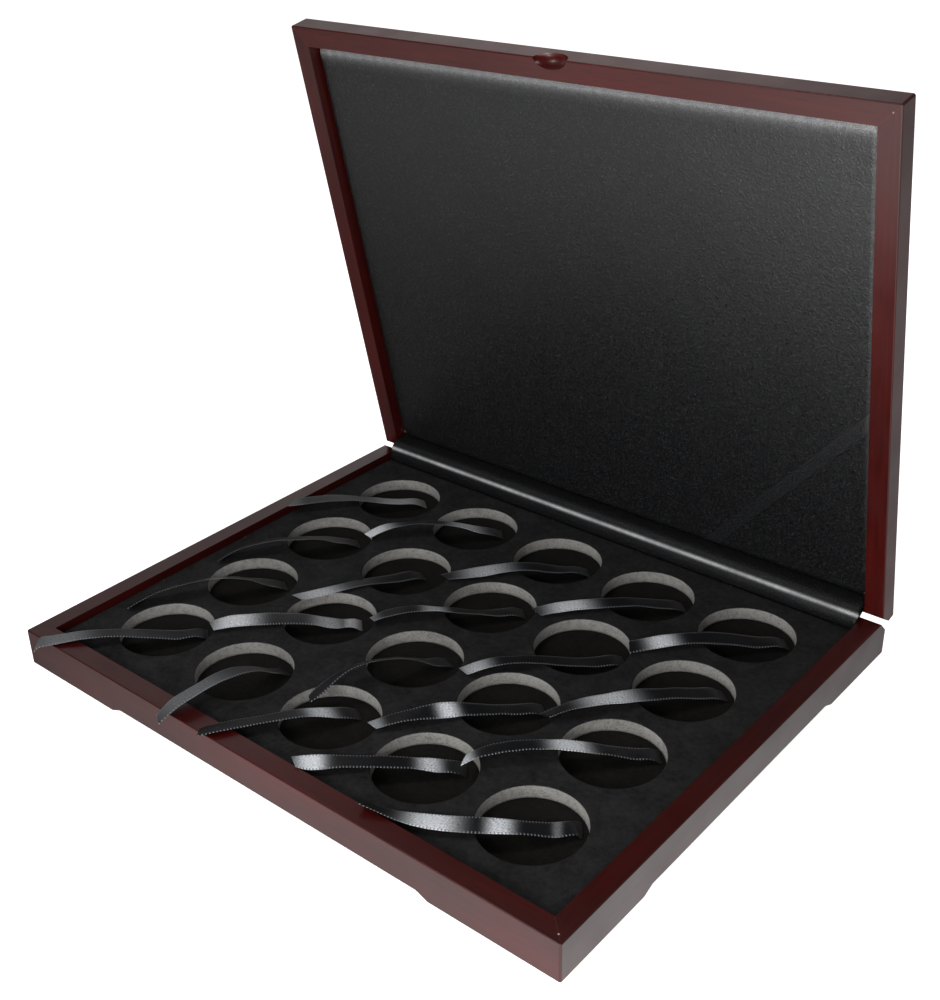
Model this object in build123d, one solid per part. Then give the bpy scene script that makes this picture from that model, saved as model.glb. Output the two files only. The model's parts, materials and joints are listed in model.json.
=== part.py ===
from build123d import *
import os
from math import cos, radians, sin, sqrt

# Coin display case: a flat mitred wooden box with a hinged, satin-lined lid and a foam tray.
# X runs along the hinge, Y from the front to the hinge, Z up. Millimetres.
# The origin is at the middle of the base, in the plane that its feet stand on.

# Box
case_width = 330.0
case_depth = 268.0
base_height = 19.5
lid_height = 11.3
rim_gap = 0.2
rail_thick = 10.0
hinge_chamfer = 6.5
corner_round = 1.0
edge_round = 0.6
lid_open_angle = 78.5

# Cut-outs under the base rails, which leave a foot at each corner
front_foot_length = 60.5
side_foot_length = 50.5
arch_rise = 3.0
arch_ramp = 7.0
arch_round = 3.0

# Bottom board in a groove, lid board in a rebate
board_thick = 3.0
bottom_level = 4.0
groove_depth = 4.0
groove_play = 0.4
lid_rebate = 4.0

# Finger scoop in the front edge of the lid
scoop_width = 18.5
scoop_depth = 5.0
scoop_height = 7.0

# Tray: board, and foam with a flocked face
tray_play = 0.3
tray_hinge_gap = 3.0
recess_floor = 8.7
foam_thick = 6.8
recess_diameter = 47.2
recess_pitch = 57.5
recess_columns = 5
recess_rows = 4

# Pull ribbons
ribbon_width = 10.0
ribbon_thick = 0.4
ribbon_tab = 4.0
ribbon_root = 19.0
ribbon_bend = 8.0
ribbon_crest = 0.5

# Lid lining: card, pad and a corner band that holds a certificate
card_thick = 1.0
pad_thick = 2.6
pad_round = 2.2
pad_play = 0.4
pad_hinge_gap = 1.6
band_width = 7.0
band_thick = 0.4
band_side_end = 16.0
band_hinge_end = 65.0

# Hinges: five knuckles on a pin, with leaves pressed into saw kerfs in the chamfers
axis_inboard = 4.3
hinge_spread = 220.0
hinge_length = 25.0
knuckle_count = 5
knuckle_gap = 0.15
barrel_radius = 1.45
pin_radius = 0.6
pin_play = 0.05
leaf_thick = 0.8
leaf_bite = 4.2

# Satin strip over the hinge line
cover_thick = 0.6
cover_play = 0.5
cover_bend = 1.2

half_width = case_width / 2
half_depth = case_depth / 2
inner_x = half_width - rail_thick
inner_y = half_depth - rail_thick
lid_low = base_height + rim_gap
lid_high = lid_low + lid_height
axis_y = half_depth - axis_inboard
axis_z = base_height + rim_gap / 2
hinge_axis = Axis((0, axis_y, axis_z), (1, 0, 0))
axis_to_chamfer = (hinge_chamfer - axis_inboard + rim_gap / 2) / sqrt(2)
leaf_reach = axis_to_chamfer + leaf_bite
card_high = lid_high - board_thick
pad_high = card_high - card_thick
pad_low = pad_high - pad_thick
foam_top = recess_floor + foam_thick

pieces = {}


def block(x_low, x_high, y_low, y_high, z_low, z_high):
    """A plain box between six limits."""
    middle = Pos((x_low + x_high) / 2, (y_low + y_high) / 2, (z_low + z_high) / 2)
    return middle * Box(x_high - x_low, y_high - y_low, z_high - z_low)


def slab(reach_x, y_low, y_high, z_low, z_high):
    """A box that is centred on X."""
    return block(-reach_x, reach_x, y_low, y_high, z_low, z_high)


def ring(z_low, z_high):
    """The four walls in one piece, with eased corners and outer edges, before the mitres."""
    outside = slab(half_width, -half_depth, half_depth, z_low, z_high)
    outside = fillet(outside.edges().filter_by(Axis.Z), corner_round)
    outside = fillet(outside.faces().sort_by(Axis.Z)[0].edges(), edge_round)
    outside = fillet(outside.faces().sort_by(Axis.Z)[-1].edges(), edge_round)
    return outside - slab(inner_x, -inner_y, inner_y, z_low - 1, z_high + 1)


def boards_slot(depth, z_low, z_high):
    """The room that a board takes up in the walls: a groove, or a rebate if it opens upwards."""
    return slab(inner_x + depth, -inner_y - depth, inner_y + depth, z_low, z_high)


def outline_along_x(points):
    """A shape drawn in the YZ plane, carried along X through the whole case."""
    outline = make_face(Polyline(*[(0, y, z) for y, z in points], close=True))
    return extrude(outline, amount=half_width + 1, dir=(1, 0, 0), both=True)


def chamfer_cut(rim, away):
    """What the 45 degree chamfer takes off the hinge edge; away is -1 down the base, 1 up the lid."""
    past = 2.0
    return outline_along_x(
        [
            (half_depth - hinge_chamfer, rim),
            (half_depth + past, rim + away * (hinge_chamfer + past)),
            (half_depth + past, rim - away * past),
            (half_depth - hinge_chamfer, rim - away * past),
        ]
    )


def at_hinges(shape, turn):
    """Place a shape at both hinges, turned about the hinge axis."""
    middles = (-hinge_spread / 2, hinge_spread / 2)
    return [Pos(x, axis_y, axis_z) * Rot(turn, 0, 0) * shape for x in middles]


base_turn = 45
lid_turn = -45
kerf = Pos(0, -leaf_reach / 2, 0) * Box(hinge_length, leaf_reach, leaf_thick)


def mitred(walls, part_of):
    """Cut the walls apart at 45 degrees in the corners, and name the four rails."""
    x0, y0 = half_width + 1, half_depth + 1
    cut = rail_thick + 8
    x1, y1 = x0 - cut, y0 - cut
    footprints = {
        "front": [(-x0, -y0), (x0, -y0), (x1, -y1), (-x1, -y1)],
        "back": [(-x0, y0), (x0, y0), (x1, y1), (-x1, y1)],
        "left": [(-x0, -y0), (-x0, y0), (-x1, y1), (-x1, -y1)],
        "right": [(x0, -y0), (x0, y0), (x1, y1), (x1, -y1)],
    }
    for side, footprint in footprints.items():
        outline = make_face(Polyline(*[(x, y, -1) for x, y in footprint], close=True))
        pieces[f"{part_of}_{side}_rail"] = walls & extrude(outline, amount=lid_high + 2, dir=(0, 0, 1))


def arch(length, reach):
    """The long shallow cut-out under two facing rails, with a ramp at each end, carried along Y."""
    half = length / 2
    points = [
        (-half - arch_ramp, -arch_rise),
        (-half + arch_ramp, arch_rise),
        (half - arch_ramp, arch_rise),
        (half + arch_ramp, -arch_rise),
    ]
    outline = make_face(Polyline(*[(x, 0, z) for x, z in points], close=True))
    cut = extrude(outline, amount=reach, dir=(0, 1, 0), both=True)
    return fillet(cut.edges().filter_by(Axis.Y).group_by(Axis.Z)[-1], arch_round)


def make_base():
    """Mitred rails on four feet, and the bottom board in their groove."""
    walls = ring(0, base_height)
    walls -= arch(case_width - 2 * front_foot_length - arch_ramp, case_depth)
    walls -= Rot(0, 0, 90) * arch(case_depth - 2 * side_foot_length - arch_ramp, case_width)
    walls -= boards_slot(groove_depth, bottom_level, bottom_level + board_thick)
    walls -= chamfer_cut(base_height, -1)
    walls -= at_hinges(kerf, base_turn)
    mitred(walls, "base")
    board_edge = groove_depth - groove_play
    pieces["base_bottom_panel"] = boards_slot(board_edge, bottom_level, bottom_level + board_thick)


def make_lid():
    """Mitred rails, and the top board flush in their rebate, with the lid closed."""
    walls = ring(lid_low, lid_high)
    walls -= boards_slot(lid_rebate, card_high, lid_high + 1)
    walls -= chamfer_cut(lid_low, 1)
    walls -= at_hinges(kerf, lid_turn)
    mitred(walls, "lid")
    scoop = scale(Sphere(1), by=(scoop_width / 2, scoop_depth, scoop_height))
    pieces["lid_front_rail"] -= Pos(0, -half_depth, lid_low) * scoop
    pieces["lid_top_panel"] = boards_slot(lid_rebate, card_high, lid_high)


def make_lining():
    """Card, rounded pad and certificate band, which fill the inside of the closed lid."""
    x = inner_x - pad_play
    y_low = -inner_y + pad_play
    y_high = inner_y - pad_hinge_gap
    pieces["lid_lining_card"] = slab(x, y_low, y_high, pad_high, card_high)
    pad = slab(x, y_low, y_high, pad_low, pad_high)
    pad = fillet(pad.faces().sort_by(Axis.Z)[0].edges(), pad_round)
    pieces["lid_lining"] = pad
    side_end = Vector(x, band_side_end, pad_low)
    hinge_end = Vector(band_hinge_end, y_high, pad_low)
    run = hinge_end - side_end
    middle = Location((side_end + hinge_end) / 2, (0, 0, run.get_angle(Vector(-1, 0, 0)) - 180))
    band = middle * Pos(0, 0, -band_thick / 2) * Box(2 * run.length, band_width, band_thick)
    face = slab(x - 1, y_low + 1, y_high - 1, pad_low - 1, pad_high)
    pieces["certificate_band"] = band & face


def recess_centres():
    """Hole centres, row by row from the hinge to the front, left to right in each row."""
    for row in range(recess_rows):
        for column in range(recess_columns):
            x = (column - (recess_columns - 1) / 2) * recess_pitch
            y = ((recess_rows - 1) / 2 - row) * recess_pitch
            yield row, column, x, y


def make_tray():
    """Board, and the foam that holds the coins; it stops short of the hinge, to let the satin strip in."""
    reach_x = inner_x - tray_play
    y_low = -inner_y + tray_play
    y_high = inner_y - tray_hinge_gap
    board_low = bottom_level + board_thick
    pieces["recess_floor_board"] = slab(reach_x, y_low, inner_y - tray_play, board_low, recess_floor)
    foam = slab(reach_x, y_low, y_high, recess_floor, foam_top)
    hole = Pos(0, 0, (recess_floor + foam_top) / 2) * Cylinder(recess_diameter / 2, foam_thick + 1)
    pieces["foam_insert"] = foam - [Pos(x, y, 0) * hole for row, column, x, y in recess_centres()]


# How each ribbon has fallen: the bearing of its root from the hole's centre, the bearing that it
# runs off on, both in degrees from X, its reach, the height of its hump and that of its tip.
ribbon_lies = [
    [
        (60, 233, 81, 21.0, 20.2),
        (57, 231, 78, 20.0, 17.0),
        (44, 232, 80, 18.5, 16.5),
        (36, 228, 77, 20.5, 16.5),
        (37, 227, 78, 20.0, 17.5),
    ],
    [
        (60, 236, 81, 18.5, 17.0),
        (70, 245, 79, 18.5, 17.0),
        (49, 231, 80, 20.0, 16.5),
        (37, 236, 80, 20.5, 16.5),
        (57, 237, 86, 20.5, 17.0),
    ],
    [
        (62, 243, 82, 20.0, 17.5),
        (53, 230, 77, 19.5, 17.0),
        (47, 247, 72, 19.0, 17.5),
        (48, 234, 83, 20.5, 16.5),
        (56, 228, 84, 21.0, 18.0),
    ],
    [
        (52, 237, 80, 25.0, 20.6),
        (61, 267, 72, 26.0, 21.0),
        (74, 240, 75, 24.0, 20.6),
        (58, 223, 73, 21.0, 20.0),
        (53, 217, 86, 21.5, 20.4),
    ],
]


def strip(points, bend, thickness, width):
    """A flat strip that follows points in the XZ plane, rounded at each, centred on Y."""
    line = FilletPolyline(*points, radius=bend)
    return extrude(Plane.XZ * trace(line, thickness), amount=width / 2, both=True)


def make_ribbons():
    """Each ribbon lies on the recess floor by its root, rises over the foam and falls to its tip."""
    level = recess_floor + ribbon_thick / 2
    for row, column, x, y in recess_centres():
        root_bearing, bearing, reach, hump, tip = ribbon_lies[row][column]
        points = [
            (0, level),
            (ribbon_tab, level),
            (ribbon_crest * reach, hump),
            (reach, tip),
        ]
        ribbon = strip(points, ribbon_bend, ribbon_thick, ribbon_width)
        root = Pos(
            x + ribbon_root * cos(radians(root_bearing)),
            y + ribbon_root * sin(radians(root_bearing)),
            0,
        )
        pieces[f"ribbon_r{row + 1}c{column + 1}"] = root * Rot(0, 0, bearing) * ribbon


def make_hinges():
    """Two hinges: leaves with interleaved knuckles on a pin, of which the base leaf has three."""
    share = hinge_length / knuckle_count
    plate_start = barrel_radius + 0.1
    plate_length = leaf_reach - plate_start
    plate = Pos(0, -plate_start - plate_length / 2, 0) * Box(hinge_length, plate_length, leaf_thick)
    neck = Pos(0, -plate_start / 2, 0) * Box(share - knuckle_gap, plate_start + 0.2, leaf_thick)
    barrel = Rot(0, 90, 0) * Cylinder(barrel_radius, share - knuckle_gap)
    base_leaf = Part() + plate
    lid_leaf = Part() + plate
    for number in range(knuckle_count):
        place = Pos((number - (knuckle_count - 1) / 2) * share, 0, 0)
        if number % 2 == 0:
            base_leaf += place * (barrel + neck)
        else:
            lid_leaf += place * (barrel + neck)
    base_leaf -= Rot(0, 90, 0) * Cylinder(pin_radius, hinge_length + 1)
    lid_leaf -= Rot(0, 90, 0) * Cylinder(pin_radius + pin_play, hinge_length + 1)
    pin = Rot(0, 90, 0) * Cylinder(pin_radius, hinge_length)
    for side, base_piece in zip(("left", "right"), at_hinges(base_leaf, base_turn)):
        pieces[f"hinge_{side}_base_leaf"] = base_piece
    for side, lid_piece in zip(("left", "right"), at_hinges(lid_leaf, lid_turn)):
        pieces[f"hinge_{side}_lid_leaf"] = lid_piece
    for side, pin_piece in zip(("left", "right"), at_hinges(pin, 0)):
        pieces[f"hinge_{side}_pin"] = pin_piece


def make_hinge_cover():
    """The satin strip: tucked in behind the foam, over both rims, and in behind the lid's pad."""
    points = [
        (122.6, 9.9),
        (122.4, 15.5),
        (122.3, 19.4),
        (124.6, 21.6),
        (125.8, 24.0),
        (128.9, 25.9),
        (133.3, 26.8),
    ]
    line = FilletPolyline(*points, radius=cover_bend)
    profile = Plane.YZ * trace(line, cover_thick)
    pieces["hinge_cover"] = extrude(profile, amount=inner_x - cover_play, both=True)


make_base()
make_tray()
make_ribbons()
make_lid()
make_lining()
make_hinges()
for name in list(pieces):
    if name.startswith("lid_") or name.endswith("lid_leaf") or name == "certificate_band":
        pieces[name] = pieces[name].rotate(hinge_axis, -lid_open_angle)
make_hinge_cover()

os.makedirs("parts", exist_ok=True)
for name, piece in pieces.items():
    export_step(piece, f"parts/{name}.step")
    print(name, round(piece.volume, 1))
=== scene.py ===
import bmesh
import bpy
import json
import numpy as np
from math import cos, pi, radians, sin
from mathutils import Matrix, Vector


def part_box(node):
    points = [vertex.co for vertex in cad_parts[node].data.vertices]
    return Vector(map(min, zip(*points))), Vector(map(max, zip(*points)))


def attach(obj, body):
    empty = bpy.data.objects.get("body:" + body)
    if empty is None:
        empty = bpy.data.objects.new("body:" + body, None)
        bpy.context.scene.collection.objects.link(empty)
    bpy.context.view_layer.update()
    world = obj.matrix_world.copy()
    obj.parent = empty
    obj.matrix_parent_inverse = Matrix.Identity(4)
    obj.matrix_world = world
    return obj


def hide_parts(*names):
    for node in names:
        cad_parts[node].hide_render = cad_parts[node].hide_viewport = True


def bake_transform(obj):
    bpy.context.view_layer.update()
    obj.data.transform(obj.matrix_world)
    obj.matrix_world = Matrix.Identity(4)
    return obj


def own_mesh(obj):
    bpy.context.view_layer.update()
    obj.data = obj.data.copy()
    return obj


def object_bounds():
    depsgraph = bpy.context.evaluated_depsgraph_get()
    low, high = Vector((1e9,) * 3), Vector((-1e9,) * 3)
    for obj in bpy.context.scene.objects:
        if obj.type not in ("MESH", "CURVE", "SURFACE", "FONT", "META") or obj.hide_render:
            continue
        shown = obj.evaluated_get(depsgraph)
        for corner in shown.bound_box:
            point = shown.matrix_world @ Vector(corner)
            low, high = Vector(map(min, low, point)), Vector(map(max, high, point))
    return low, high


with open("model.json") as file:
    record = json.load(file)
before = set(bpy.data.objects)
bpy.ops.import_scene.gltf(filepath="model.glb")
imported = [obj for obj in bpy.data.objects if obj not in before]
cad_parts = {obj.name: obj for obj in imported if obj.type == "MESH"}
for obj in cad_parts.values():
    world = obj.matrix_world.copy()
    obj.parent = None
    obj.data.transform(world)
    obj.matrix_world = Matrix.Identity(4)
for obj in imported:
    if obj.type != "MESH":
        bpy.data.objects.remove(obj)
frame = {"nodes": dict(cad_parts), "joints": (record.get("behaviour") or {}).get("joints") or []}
cadBox = [list(corner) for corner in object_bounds()]
nodes = frame["nodes"]
print("frame loaded,", len(nodes), "nodes")

# Lengths in the dictionaries are millimetres, unless a note says otherwise.
mm = 0.001
hinge = frame["joints"][0]
hingeY, hingeZ = hinge["pos_m"][1:]
lidAngle = radians(-hinge["range_deg"][0])  # how far the lid stands open at rest


def placesOf(piece):
    places = np.empty(len(piece.data.vertices) * 3, np.float32)
    piece.data.vertices.foreach_get("co", places)
    return places.reshape(-1, 3).astype(float)


def turnLid(points, angle):
    # places turned about the hinge line, opening where the angle is above zero
    y, z = points[..., 1] - hingeY, points[..., 2] - hingeZ
    turned = points.copy()
    turned[..., 1] = hingeY + cos(angle) * y + sin(angle) * z
    turned[..., 2] = hingeZ - sin(angle) * y + cos(angle) * z
    return turned


def openLid(points):
    return turnLid(points, lidAngle)


def closedBox(name):
    # a lid node's box with the lid shut, from its own vertices
    shut = turnLid(placesOf(nodes[name]), -lidAngle)
    return shut.min(0), shut.max(0)


def smoothThrough(knots, values, at):
    # natural cubic spline: the bends at the knots are solved first, then each span's cubic is read
    knots, values = np.asarray(knots, float), np.asarray(values, float)
    span = np.diff(knots)
    slope = np.diff(values) / span
    count = len(knots)
    system = np.eye(count)
    for k in range(1, count - 1):
        system[k, k - 1:k + 2] = span[k - 1], 2 * (span[k - 1] + span[k]), span[k]
    turn = np.zeros(count)
    turn[1:-1] = 6 * np.diff(slope)
    bend = np.linalg.solve(system, turn)
    k = np.clip(np.searchsorted(knots, at) - 1, 0, count - 2)
    a, b = (knots[k + 1] - at) / span[k], (at - knots[k]) / span[k]
    cubic = ((a ** 3 - a) * bend[k] + (b ** 3 - b) * bend[k + 1]) * span[k] ** 2 / 6
    return a * values[k] + b * values[k + 1] + cubic


def ripple(at, wavelength, seed):
    # a smooth wandering line between about -1 and 1: three sines of seeded phase and length
    rng = np.random.default_rng(seed)
    total = np.zeros_like(at, dtype=float)
    for share in (0.55, 0.3, 0.15):
        length = wavelength * rng.uniform(0.45, 1.5)
        total += share * np.sin(2 * pi * at / length + rng.uniform(0, 2 * pi))
    return total


def quarterCircle(share):
    # the height of a rounded edge: 0 at its foot, where share is 0, and 1 from where share is 1
    return np.sqrt(np.clip(1 - (1 - np.clip(share, 0, 1)) ** 2, 0, 1))


def squarer(wave, power):
    # a sine or cosine bent towards a square wave, so that a circle drawn with it gets flat sides
    return np.sign(wave) * np.abs(wave) ** power


def unit(vectors):
    return vectors / np.linalg.norm(vectors, axis=1)[:, None]


def pairs(first, second):
    return np.stack(np.broadcast_arrays(first, second), axis=-1)


def putIn(name, data):
    piece = bpy.data.objects.new(name, data)
    bpy.context.scene.collection.objects.link(piece)
    return piece


def surface(name, grid, uv=None, loop=False, capped=False):
    # a mesh from an array of places, rows by columns; loop joins the last column to the first,
    # capped closes both ends with a fan, and faces are turned so that they enclose a positive volume
    rows, columns = grid.shape[:2]
    index = np.arange(rows * columns).reshape(rows, columns)
    right = np.roll(index, -1, axis=1)
    if not loop:
        index, right = index[:, :-1], right[:, :-1]
    quads = np.stack([index[:-1], right[:-1], right[1:], index[1:]], axis=-1).reshape(-1, 4)
    places = grid.reshape(-1, 3)
    triangles = np.zeros((0, 3), int)
    if capped:
        first, last = len(places), len(places) + 1
        ring = np.arange(columns)
        after = np.roll(ring, -1)
        end = (rows - 1) * columns
        start = np.stack([np.full(columns, first), after, ring], axis=-1)
        finish = np.stack([np.full(columns, last), ring + end, after + end], axis=-1)
        triangles = np.concatenate([start, finish])
        places = np.concatenate([places, grid[0].mean(0)[None], grid[-1].mean(0)[None]])
        if uv is not None:
            ends = np.stack([uv[0].mean(0), uv[-1].mean(0)])
            uv = np.concatenate([uv.reshape(-1, 2), ends])
    a, b, c, d = (places[quads[:, k]] for k in range(4))
    volume = (np.cross(a, b) * c).sum() + (np.cross(a, c) * d).sum()
    faces = quads.tolist() + triangles.tolist()
    if volume < 0:
        faces = [face[::-1] for face in faces]
    mesh = bpy.data.meshes.new(name)
    mesh.from_pydata(places.tolist(), [], faces)
    mesh.polygons.foreach_set("use_smooth", [True] * len(mesh.polygons))
    if uv is not None:
        flat = uv.reshape(-1, 2)
        corners = np.empty(len(mesh.loops), np.int32)
        mesh.loops.foreach_get("vertex_index", corners)
        layer = mesh.uv_layers.new(name="cloth")
        layer.data.foreach_set("uv", flat[corners].astype(np.float32).ravel())
    mesh.update()
    return putIn(name, mesh)


def givePaintedHighlight(piece, values):
    # how strongly a highlight is painted into the cloth's colour at each vertex, from 0 to 1
    layer = piece.data.attributes.new("painted_highlight_share", "FLOAT", "POINT")
    layer.data.foreach_set("value", np.clip(values, 0, 1).astype(np.float32))


def joinShells(shells, name):
    # one closed mesh of patches whose rims meet: doubled places are merged and faces turned outward
    whole = bmesh.new()
    for shell in shells:
        whole.from_mesh(shell.data)
    bmesh.ops.remove_doubles(whole, verts=whole.verts, dist=0.000002)
    bmesh.ops.recalc_face_normals(whole, faces=whole.faces)
    first = shells[0]
    whole.to_mesh(first.data)
    whole.free()
    first.data.polygons.foreach_set("use_smooth", [True] * len(first.data.polygons))
    first.data.update()
    for shell in shells[1:]:
        bpy.data.objects.remove(shell)
    first.name = name
    return first


def setInputs(tree, node, inputs):
    # an input is linked where its value is a socket, and otherwise set
    for key, value in inputs.items():
        if isinstance(value, bpy.types.NodeSocket):
            tree.links.new(value, node.inputs[key])
        else:
            node.inputs[key].default_value = value


def addNode(tree, kind, inputs=None, **settings):
    node = tree.nodes.new("ShaderNode" + kind)
    for key, value in settings.items():
        setattr(node, key, value)
    setInputs(tree, node, inputs or {})
    return node


def calc(tree, operation, first, second=0.0, third=0.0, clamp=False):
    node = addNode(tree, "Math", {0: first, 1: second, 2: third}, operation=operation)
    node.use_clamp = clamp
    return node.outputs[0]


def remap(tree, value, low, high, toLow=0.0, toHigh=1.0):
    limits = {"Value": value, "From Min": low, "From Max": high, "To Min": toLow, "To Max": toHigh}
    return addNode(tree, "MapRange", limits, clamp=True).outputs[0]


def tint(tree, share, first, second):
    return addNode(tree, "Mix", {0: share, 6: first, 7: second}, data_type="RGBA").outputs[2]


def noise(tree, place, scale, detail=2.0, rough=0.5):
    # the scale is per metre, one number or one for each axis
    if isinstance(scale, tuple):
        place = addNode(tree, "VectorMath", {0: place, 1: scale}, operation="MULTIPLY").outputs[0]
        scale = 1.0
    inputs = {"Vector": place, "Scale": scale, "Detail": detail, "Roughness": rough}
    return addNode(tree, "TexNoise", inputs).outputs[0]


def startGroup(name, inputs, outputs):
    # a shader group that takes a place and the numbers in inputs, and gives the numbers in outputs
    group = bpy.data.node_groups.new(name, "ShaderNodeTree")
    group.interface.new_socket(name="Place", in_out="INPUT", socket_type="NodeSocketVector")
    for way, labels in (("INPUT", inputs), ("OUTPUT", outputs)):
        for label in labels:
            group.interface.new_socket(name=label, in_out=way, socket_type="NodeSocketFloat")
    return group, group.nodes.new("NodeGroupInput").outputs


def endGroup(group, results):
    setInputs(group, group.nodes.new("NodeGroupOutput"), results)
    return group


def useGroup(tree, group, inputs):
    return addNode(tree, "Group", inputs, node_tree=group).outputs


def startMaterial(name, space="Object"):
    # a material, its tree, its shader and the place on the piece, in the space that is named
    material = bpy.data.materials.new(name)
    material.use_nodes = True
    tree = material.node_tree
    return material, tree, tree.nodes["Principled BSDF"], addNode(tree, "TexCoord").outputs[space]


def toned(colour, tone):
    return tuple(tone * c for c in colour[:3]) + (1,)


def bump(tree, height, depth, strength=1.0):
    # depth in metres is what a height of one stands for
    return addNode(tree, "Bump", {"Strength": strength, "Distance": depth, "Height": height}).outputs[0]


def dress(piece, material):
    piece.data.materials.clear()
    piece.data.materials.append(material)


def makeGrainGroup():
    # wood figure, pores and relief; X of Place runs along the grain
    group, given = startGroup("woodGrain", [], ["Figure", "Pores", "Relief"])
    place = given["Place"]
    broad = noise(group, place, (5, 55, 55), 5.0, 0.6)
    fine = noise(group, place, (22, 620, 620), 4.0, 0.65)
    patches = noise(group, place, (9, 24, 24), 2.0, 0.5)
    figure = calc(group, "MULTIPLY_ADD", fine, 0.4, calc(group, "MULTIPLY", broad, 0.6))
    figure = calc(group, "MULTIPLY_ADD", patches, 0.45, calc(group, "SUBTRACT", figure, 0.22))
    streak = noise(group, place, (70, 1900, 1900), 2.0, 0.5)
    pores = remap(group, streak, 0.60, 0.72)
    relief = calc(group, "MULTIPLY_ADD", pores, -0.8, calc(group, "MULTIPLY", fine, 0.35))
    return endGroup(group, {"Figure": remap(group, figure, 0.25, 0.78), "Pores": pores, "Relief": relief})


def makeSpeckGroup():
    # tiny bright lint specks, a few to a palm's width
    group, given = startGroup("lintSpecks", ["Spacing", "Size"], ["Mask"])
    scale = calc(group, "DIVIDE", 1.0, given["Spacing"])
    cells = addNode(group, "TexVoronoi", {"Vector": given["Place"], "Scale": scale})
    reach = calc(group, "MULTIPLY", cells.outputs["Distance"], given["Spacing"])
    near = calc(group, "LESS_THAN", reach, given["Size"])
    pick = addNode(group, "SeparateColor", {0: cells.outputs["Color"]}).outputs[0]
    chosen = calc(group, "GREATER_THAN", pick, 0.62)
    return endGroup(group, {"Mask": calc(group, "MULTIPLY", near, chosen)})


def makeSatinGroup():
    # satin floats: Place is in metres with X across and Y along the threads
    group, given = startGroup("satinWeave", ["Pitch"], ["Relief", "Glint"])
    scale = calc(group, "DIVIDE", 1.0, given["Pitch"])
    base = addNode(group, "VectorMath", {0: given["Place"], 3: scale}, operation="SCALE").outputs[0]
    threads = noise(group, base, (1.6, 0.35, 1.6), 2.0, 0.55)
    glint = noise(group, base, (0.9, 0.55, 0.9), 1.0, 0.5)
    return endGroup(group, {"Relief": threads, "Glint": remap(group, glint, 0.36, 0.66)})


grainGroup = makeGrainGroup()
speckGroup = makeSpeckGroup()
satinGroup = makeSatinGroup()

lacquer = {
    "deep": (0.020, 0.0016, 0.0012, 1),
    "red": (0.092, 0.0062, 0.0043, 1),
    "pore": (0.007, 0.0012, 0.0010, 1),
    "joint": (0.14, 0.055, 0.042, 1),
    "chip": (0.60, 0.42, 0.36, 1),
    # the base's and the lid's copies of one lacquer differ in tone: painted shade on the base and painted
    # light on the lid
    "baseShadedTone": 0.82,
    "lidLitTone": 1.16,
    "roughness": (0.30, 0.40),
    "coat": 0.15,
    "coatRoughness": 0.10,
    "specular": 0.38,
    "halfDepth": 0.134,  # metres, the frame from its middle to its front face
    "jointHalfWidth": 0.11,
    "jointShare": 0.55,
    "poreShare": 0.55,
    "grainDepth": 0.03,
    "chipPlace": (0.1612, -0.1302, 0.0195),  # metres, a nick in the mitre nearest the front right
    "chipSize": (0.2, 0.5),  # bare wood out to the first, and gone at the second
}


def makeLacquer(name, alongY, onLid, mitred=True):
    # red stain that follows the grain under a clear coat; the lid's wood is laid out with the lid shut
    # a darker copy for the base and a lighter one for the lid: painted shade and painted light
    tone = lacquer["lidLitTone"] if onLid else lacquer["baseShadedTone"]
    material, tree, shader, place = startMaterial(name)
    if onLid:
        axis = Vector((0, hingeY, hingeZ))
        shut = Matrix.Rotation(lidAngle, 3, "X")
        inputs = {"Vector": place, "Rotation": (lidAngle, 0, 0), "Location": axis - shut @ axis}
        place = addNode(tree, "Mapping", inputs).outputs[0]
    parts = addNode(tree, "SeparateXYZ", {0: place}).outputs
    grainPlace = place
    if alongY:
        grainPlace = addNode(tree, "CombineXYZ", {0: parts[1], 1: parts[0], 2: parts[2]}).outputs[0]
    grain = useGroup(tree, grainGroup, {"Place": grainPlace})
    colour = tint(tree, grain["Figure"], toned(lacquer["deep"], tone), toned(lacquer["red"], tone))
    pores = calc(tree, "MULTIPLY", grain["Pores"], lacquer["poreShare"])
    colour = tint(tree, pores, colour, lacquer["pore"])
    # the mitre: a hairline where x and y are as far from their outer faces
    joint = 0.0
    if mitred:
        wide = lacquer["jointHalfWidth"] * mm
        across = calc(tree, "SUBTRACT", calc(tree, "ABSOLUTE", parts[0]), calc(tree, "ABSOLUTE", parts[1]))
        offset = calc(tree, "SUBTRACT", across, cadBox[1][0] - lacquer["halfDepth"])
        joint = remap(tree, calc(tree, "ABSOLUTE", offset), 0.5 * wide, wide, 1.0, 0.0)
    colour = tint(tree, calc(tree, "MULTIPLY", joint, lacquer["jointShare"]), colour, lacquer["joint"])
    gap = addNode(tree, "VectorMath", {0: place, 1: lacquer["chipPlace"]}, operation="DISTANCE").outputs[1]
    bare, whole = (size * mm for size in lacquer["chipSize"])
    colour = tint(tree, remap(tree, gap, bare, whole, 1.0, 0.0), colour, lacquer["chip"])
    gloss = remap(tree, noise(tree, place, 45.0, 2.0, 0.5), 0.3, 0.7, *lacquer["roughness"])
    height = calc(tree, "MULTIPLY_ADD", joint, -1.5, grain["Relief"])
    setInputs(tree, shader, {
        "Base Color": colour,
        "Roughness": gloss,
        "Coat Weight": lacquer["coat"],
        "Coat Roughness": lacquer["coatRoughness"],
        "Specular IOR Level": lacquer["specular"],
        "Normal": bump(tree, height, lacquer["grainDepth"] * mm, 0.5),
    })
    return material


for part, word in (("base", "rail"), ("lid", "lid")):
    across = makeLacquer(f"lacquer_{word}_across", False, part == "lid")
    deep = makeLacquer(f"lacquer_{word}_deep", True, part == "lid")
    for side, wood in (("front", across), ("back", across), ("left", deep), ("right", deep)):
        dress(nodes[f"{part}_{side}_rail"], wood)
dress(nodes["lid_top_panel"], makeLacquer("lacquer_panel", False, True, mitred=False))
print("wood done")

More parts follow.
